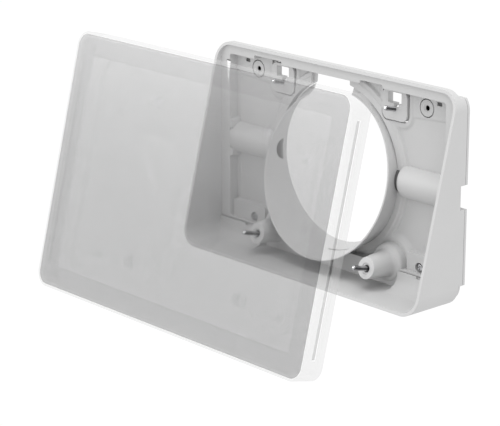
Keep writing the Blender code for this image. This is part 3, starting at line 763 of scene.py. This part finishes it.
# --- lower blocks ---------------------------------------------------------------
for s, side in ((-1, "left"), (1, "right")):
    prof = [(-2.2, -55.0), (-10.2, -55.6), (-10.6, -60.4), (-12.6, -63.6),
            (-16.5, -65.9), (-24.0, -67.2), (-2.2, -67.2)]
    xa, xb = (60.6, 106.0) if s > 0 else (-106.0, -60.6)
    block = slab("corner_block_" + side, [prof], xa, xb, along="X")
    pad_ = slab("pad", [box_outline(s * 80.8 - 15.8, s * 80.8 + 15.8, -57.0,
                                    -42.6, 1.2, 4)], -6.6, -2.2)
    join(block, pad_)
    clip(block, slab("in_wall", [rrect(HW - 2 * WALL + 0.6,
                                       HT - HB - 2 * WALL + 0.6,
                                       HR - WALL + 0.3, 14, 0, HC)],
                     -90, 5))
    xs_ = s * 75.6
    cut(block, turned("screw_well", [(-12, 3.3), (-3.2, 3.3)], xs_, -51.2,
                      40))
    cut(block, slab("relief", [box_outline(s * 78.6 - 1.7, s * 78.6 + 1.7,
                                           -57.2, -54.6)], -30, -3.5))
    soften(block, 0.6, 4, 35)
    dress(block, shell, HOUSING, "housing_plastic", "screw_block_" + side)
    sc = turned("corner_screw_" + side,
                [(-3.0, 0), (-3.0, 2.2), (-5.4, 2.2), (-5.75, 2.05),
                 (-5.9, 1.8), (-5.9, 0)], xs_, -51.2, 48)
    for k in range(2):
        bar = slab("drive", [box_outline(xs_ - 1.7, xs_ + 1.7, -51.6,
                                         -50.8)] if k == 0 else
                   [box_outline(xs_ - 0.4, xs_ + 0.4, -52.9, -49.5)],
                   -9, -5.5)
        cut(sc, bar)
    clean(sc)
    smooth(sc, 35)
    dress(sc, screw_metal, HOUSING, "screw_steel", "hood_screw_" + side)

# ============================================================ touch panel
P = Matrix.Translation((0, -132.4 * MM, 3.03 * MM)) @ \
    Matrix.Rotation(-TILT, 4, "X")
PW, PH, PT, PR = 247.2, 165.0, 15.6, 9.8
panel_pieces = []


def ghost(ob):
    ob.visible_shadow = False
    ob.visible_diffuse = False
    ob.visible_glossy = False
    panel_pieces.append(ob)
    return ob


def to_panel(ob):
    ob.data.transform(P)
    return ob


def rounded_plate(name, w, h, r, y0, y1, edge, n=16, segs=4, hollow=None):
    """Rounded rectangle plate with rolled edges, in the panel's frame."""
    prof = []
    for k in range(segs + 1):
        u = pi / 2 * k / segs
        prof.append((y0 + edge * (1 - sin(u)), -edge * (1 - cos(u))))
    prof = prof[::-1]
    bm = bmesh.new()
    rows = []
    for y, d in prof + [(y1 - (y - y0), d) for y, d in prof[::-1]]:
        rows.append([bm.verts.new((px * MM, y * MM, pz * MM))
                     for px, pz in rrect(w + 2 * d, h + 2 * d, r + d, n)])
    m = len(rows[0])
    for a, b in zip(rows, rows[1:]):
        for i in range(m):
            j = (i + 1) % m
            bm.faces.new((a[i], a[j], b[j], b[i]))
    bm.faces.new(rows[0])
    bm.faces.new(rows[-1])
    bmesh.ops.recalc_face_normals(bm, faces=bm.faces)
    me = bpy.data.meshes.new(name)
    bm.to_mesh(me)
    bm.free()
    return link(name, me)


# --- glass ------------------------------------------------------------------
glass = rounded_plate("front_glass", 244.2, 162.0, 8.3, 0.0, 1.2, 0.25)
dress(glass, [glass_front, glass_back], PANEL, "screen_glass",
      "cover_glass")
for p in glass.data.polygons:
    p.material_index = 0 if p.normal.y < -0.6 and p.center.y < 0.0009 else 1
    p.use_smooth = False
glass.data.transform(P)
ghost(glass)

# --- printed border behind the glass ---------------------------------------
ink = slab("border_print", [rrect(240.0, 158.0, 6.6, 10),
                            rrect(217.0, 135.6, 1.0, 4)], 1.3, 1.4)
dress(to_panel(ink), border_ink, PANEL, "screen_glass")
ghost(ink)

# --- band -------------------------------------------------------------------
band = slab("panel_band", [rrect(PW, PH, PR, 16)], 0.15, PT)
bvo = band.modifiers.new("edge", "BEVEL")
bvo.width = 0.7 * MM
bvo.segments = 4
bvo.limit_method = "ANGLE"
bvo.angle_limit = radians(60)
bpy.context.view_layer.update()
me = bpy.data.meshes.new_from_object(
    band.evaluated_get(bpy.context.evaluated_depsgraph_get()))
band.modifiers.clear()
band.data = me
cut(band, slab("pocket", [rrect(244.6, 162.4, 8.5, 16)], -3, 1.8))
cut(band, slab("through", [rrect(PW - 6.2, PH - 6.2, PR - 3.1, 16)], -5, 30))
for s in (-1, 1):
    cut(band, slab("light_slot", [box_outline(s * 123 - 5, s * 123 + 5,
                                              -68.5, 68.5)], 6.0, 8.4))
clean(band)
dress(band, [band_out, band_painted_light, band_in], PANEL, "band_plastic",
      "side_band")
for p in band.data.polygons:
    c, n = p.center, p.normal
    ax, azc = abs(c.x) * 1000, abs(c.z) * 1000
    out = (ax > PW / 2 - 1.5 and abs(n.x) > 0.3 and n.x * c.x > 0) or \
          (azc > PH / 2 - 1.5 and abs(n.z) > 0.3 and n.z * c.z > 0) or \
          (ax > PW / 2 - PR and azc > PH / 2 - PR and
           n.x * c.x + n.z * c.z > 0.02) or \
          (n.y < -0.5 and c.y < 0.0012)
    if not out:
        p.material_index = 2
    # left and bottom faces: the fainter copy, painted light over their shade
    elif n.x < -0.3 or n.z < -0.97:
        p.material_index = 1
    else:
        p.material_index = 0
band.data.transform(P)
smooth(band, 40)
ghost(band)

# --- light guides in the side slots --------------------------------------
for s, side in ((-1, "left"), (1, "right")):
    bar = slab("light_guide_" + side,
               [box_outline(s * 121.9 - 1.25, s * 121.9 + 1.25, -68.2, 68.2,
                            0.3, 2)], 6.1, 8.3)
    dress(to_panel(bar), [slot_dark if s > 0 else slot_far, band_in],
          PANEL, "light_bar_smoke",
          "light_bar_" + side)
    for p in bar.data.polygons:
        p.material_index = 0 if p.normal.x * s > 0.5 else 1
    ghost(bar)

# --- carried CAD pieces: rear cover and what is inside the panel -----------
inside = {
    "lcd_panel": inner("lcd_cell", (0.03, 0.03, 0.035), (0.15, 0.25)),
    "backlight_unit": inner("backlight_white", (0.78, 0.78, 0.78)),
    "mid_frame": inner("frame_sheet", (0.6, 0.6, 0.62), (0.3, 0.45), 1.0),
    "main_board": inner("solder_mask", (0.03, 0.13, 0.07), (0.35, 0.5)),
    "processor_shield": inner("shield_tin", (0.62, 0.62, 0.6), (0.25, 0.4),
                              1.0),
    "heat_spreader": inner("rolled_aluminium", (0.72, 0.72, 0.72),
                           (0.3, 0.45), 1.0),
    "supply_module": inner("module_black", (0.03, 0.03, 0.03)),
    "display_ribbon": inner("ribbon_amber", (0.35, 0.18, 0.05)),
    "wifi_antenna": inner("antenna_film", (0.33, 0.2, 0.06)),
    "ethernet_socket": inner("socket_black", (0.03, 0.03, 0.03)),
    "power_port": inner("port_steel", (0.6, 0.6, 0.62), (0.25, 0.4), 1.0),
    "port_bay": inner("bay_plastic", (0.25, 0.25, 0.25)),
    "led_strip_left": inner("led_film_left", (0.55, 0.53, 0.45)),
    "led_strip_right": inner("led_film_right", (0.55, 0.53, 0.45)),
}
sock = inner("socket_steel", (0.45, 0.45, 0.47), (0.25, 0.4), 1.0,
             alpha=0.03)
cscrew = inner("cover_screw_steel", (0.55, 0.55, 0.56), (0.25, 0.4), 1.0,
               alpha=0.03)
for n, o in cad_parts.items():
    if o.hide_render:
        continue
    if n in inside:
        m = inside[n]
    elif n.startswith("stud_socket"):
        m = sock
    elif n.startswith("cover_screw"):
        m = cscrew
    elif n == "rear_cover":
        m = rear_mat
    elif n == "wall_plate":
        m = plate_mat
    else:
        m = shell
    o.data.materials.clear()
    o.data.materials.append(m)
    if n != "wall_plate":
        ghost(o)

# ================================================================== floor
fl = bpy.data.meshes.new("floor")
bm = bmesh.new()
bmesh.ops.create_grid(bm, x_segments=2, y_segments=2, size=9.0)
bm.to_mesh(fl)
bm.free()
floor = link("floor", fl)
floor.location.z = cad_lo.z - 0.02
fm = bpy.data.materials.new("floor_white")
fm.use_nodes = True
nt = fm.node_tree
nt.nodes.clear()
out = nt.nodes.new("ShaderNodeOutputMaterial")
em = nt.nodes.new("ShaderNodeEmission")
em.inputs["Color"].default_value = (1, 1, 1, 1)
em.inputs["Strength"].default_value = 1.02
nt.links.new(em.outputs[0], out.inputs["Surface"])
floor.data.materials.append(fm)
floor.visible_diffuse = False
floor.visible_glossy = False
floor.visible_shadow = False

# ================================================================= lights
world = bpy.data.worlds.new("world")
world.use_nodes = True
bg = world.node_tree.nodes["Background"]
bg.inputs["Color"].default_value = (1, 1, 1, 1)
bg.inputs["Strength"].default_value = 0.815
bpy.context.scene.world = world


def area(name, loc, aim, size, power):
    d = bpy.data.lights.new(name, "AREA")
    d.shape = "RECTANGLE"
    d.size, d.size_y = size
    d.energy = power
    ob = bpy.data.objects.new(name, d)
    col.objects.link(ob)
    ob.location = loc
    ob.rotation_euler = (Vector(aim) - Vector(loc)).to_track_quat(
        "-Z", "Y").to_euler()
    return ob


area("key", tuple(Vector((0.5, -0.35, 0.8)).normalized() * 1.6), (0, 0, 0),
     (0.9, 0.9), 1.9)
area("top", tuple(Vector((0.0, -0.2, 1.0)).normalized() * 1.6), (0, 0, 0),
     (0.9, 0.9), 8.4)
area("side", tuple(Vector((0.95, -0.15, 0.3)).normalized() * 1.6), (0, 0, 0),
     (0.9, 0.9), 1.4)
sheen = area("sheen", (-1.30, -1.38, 0.46), (-0.06, -0.13, 0.03),
             (1.3, 0.42), 20.0)
sheen.visible_diffuse = False

sc = bpy.context.scene
sc.view_settings.view_transform = "Standard"
sc.view_settings.look = "None"
sc.view_settings.exposure = 0.0
sc.view_settings.gamma = 1.0
if hasattr(sc, "cycles"):
    sc.cycles.transparent_max_bounces = 64
    sc.cycles.diffuse_bounces = 1
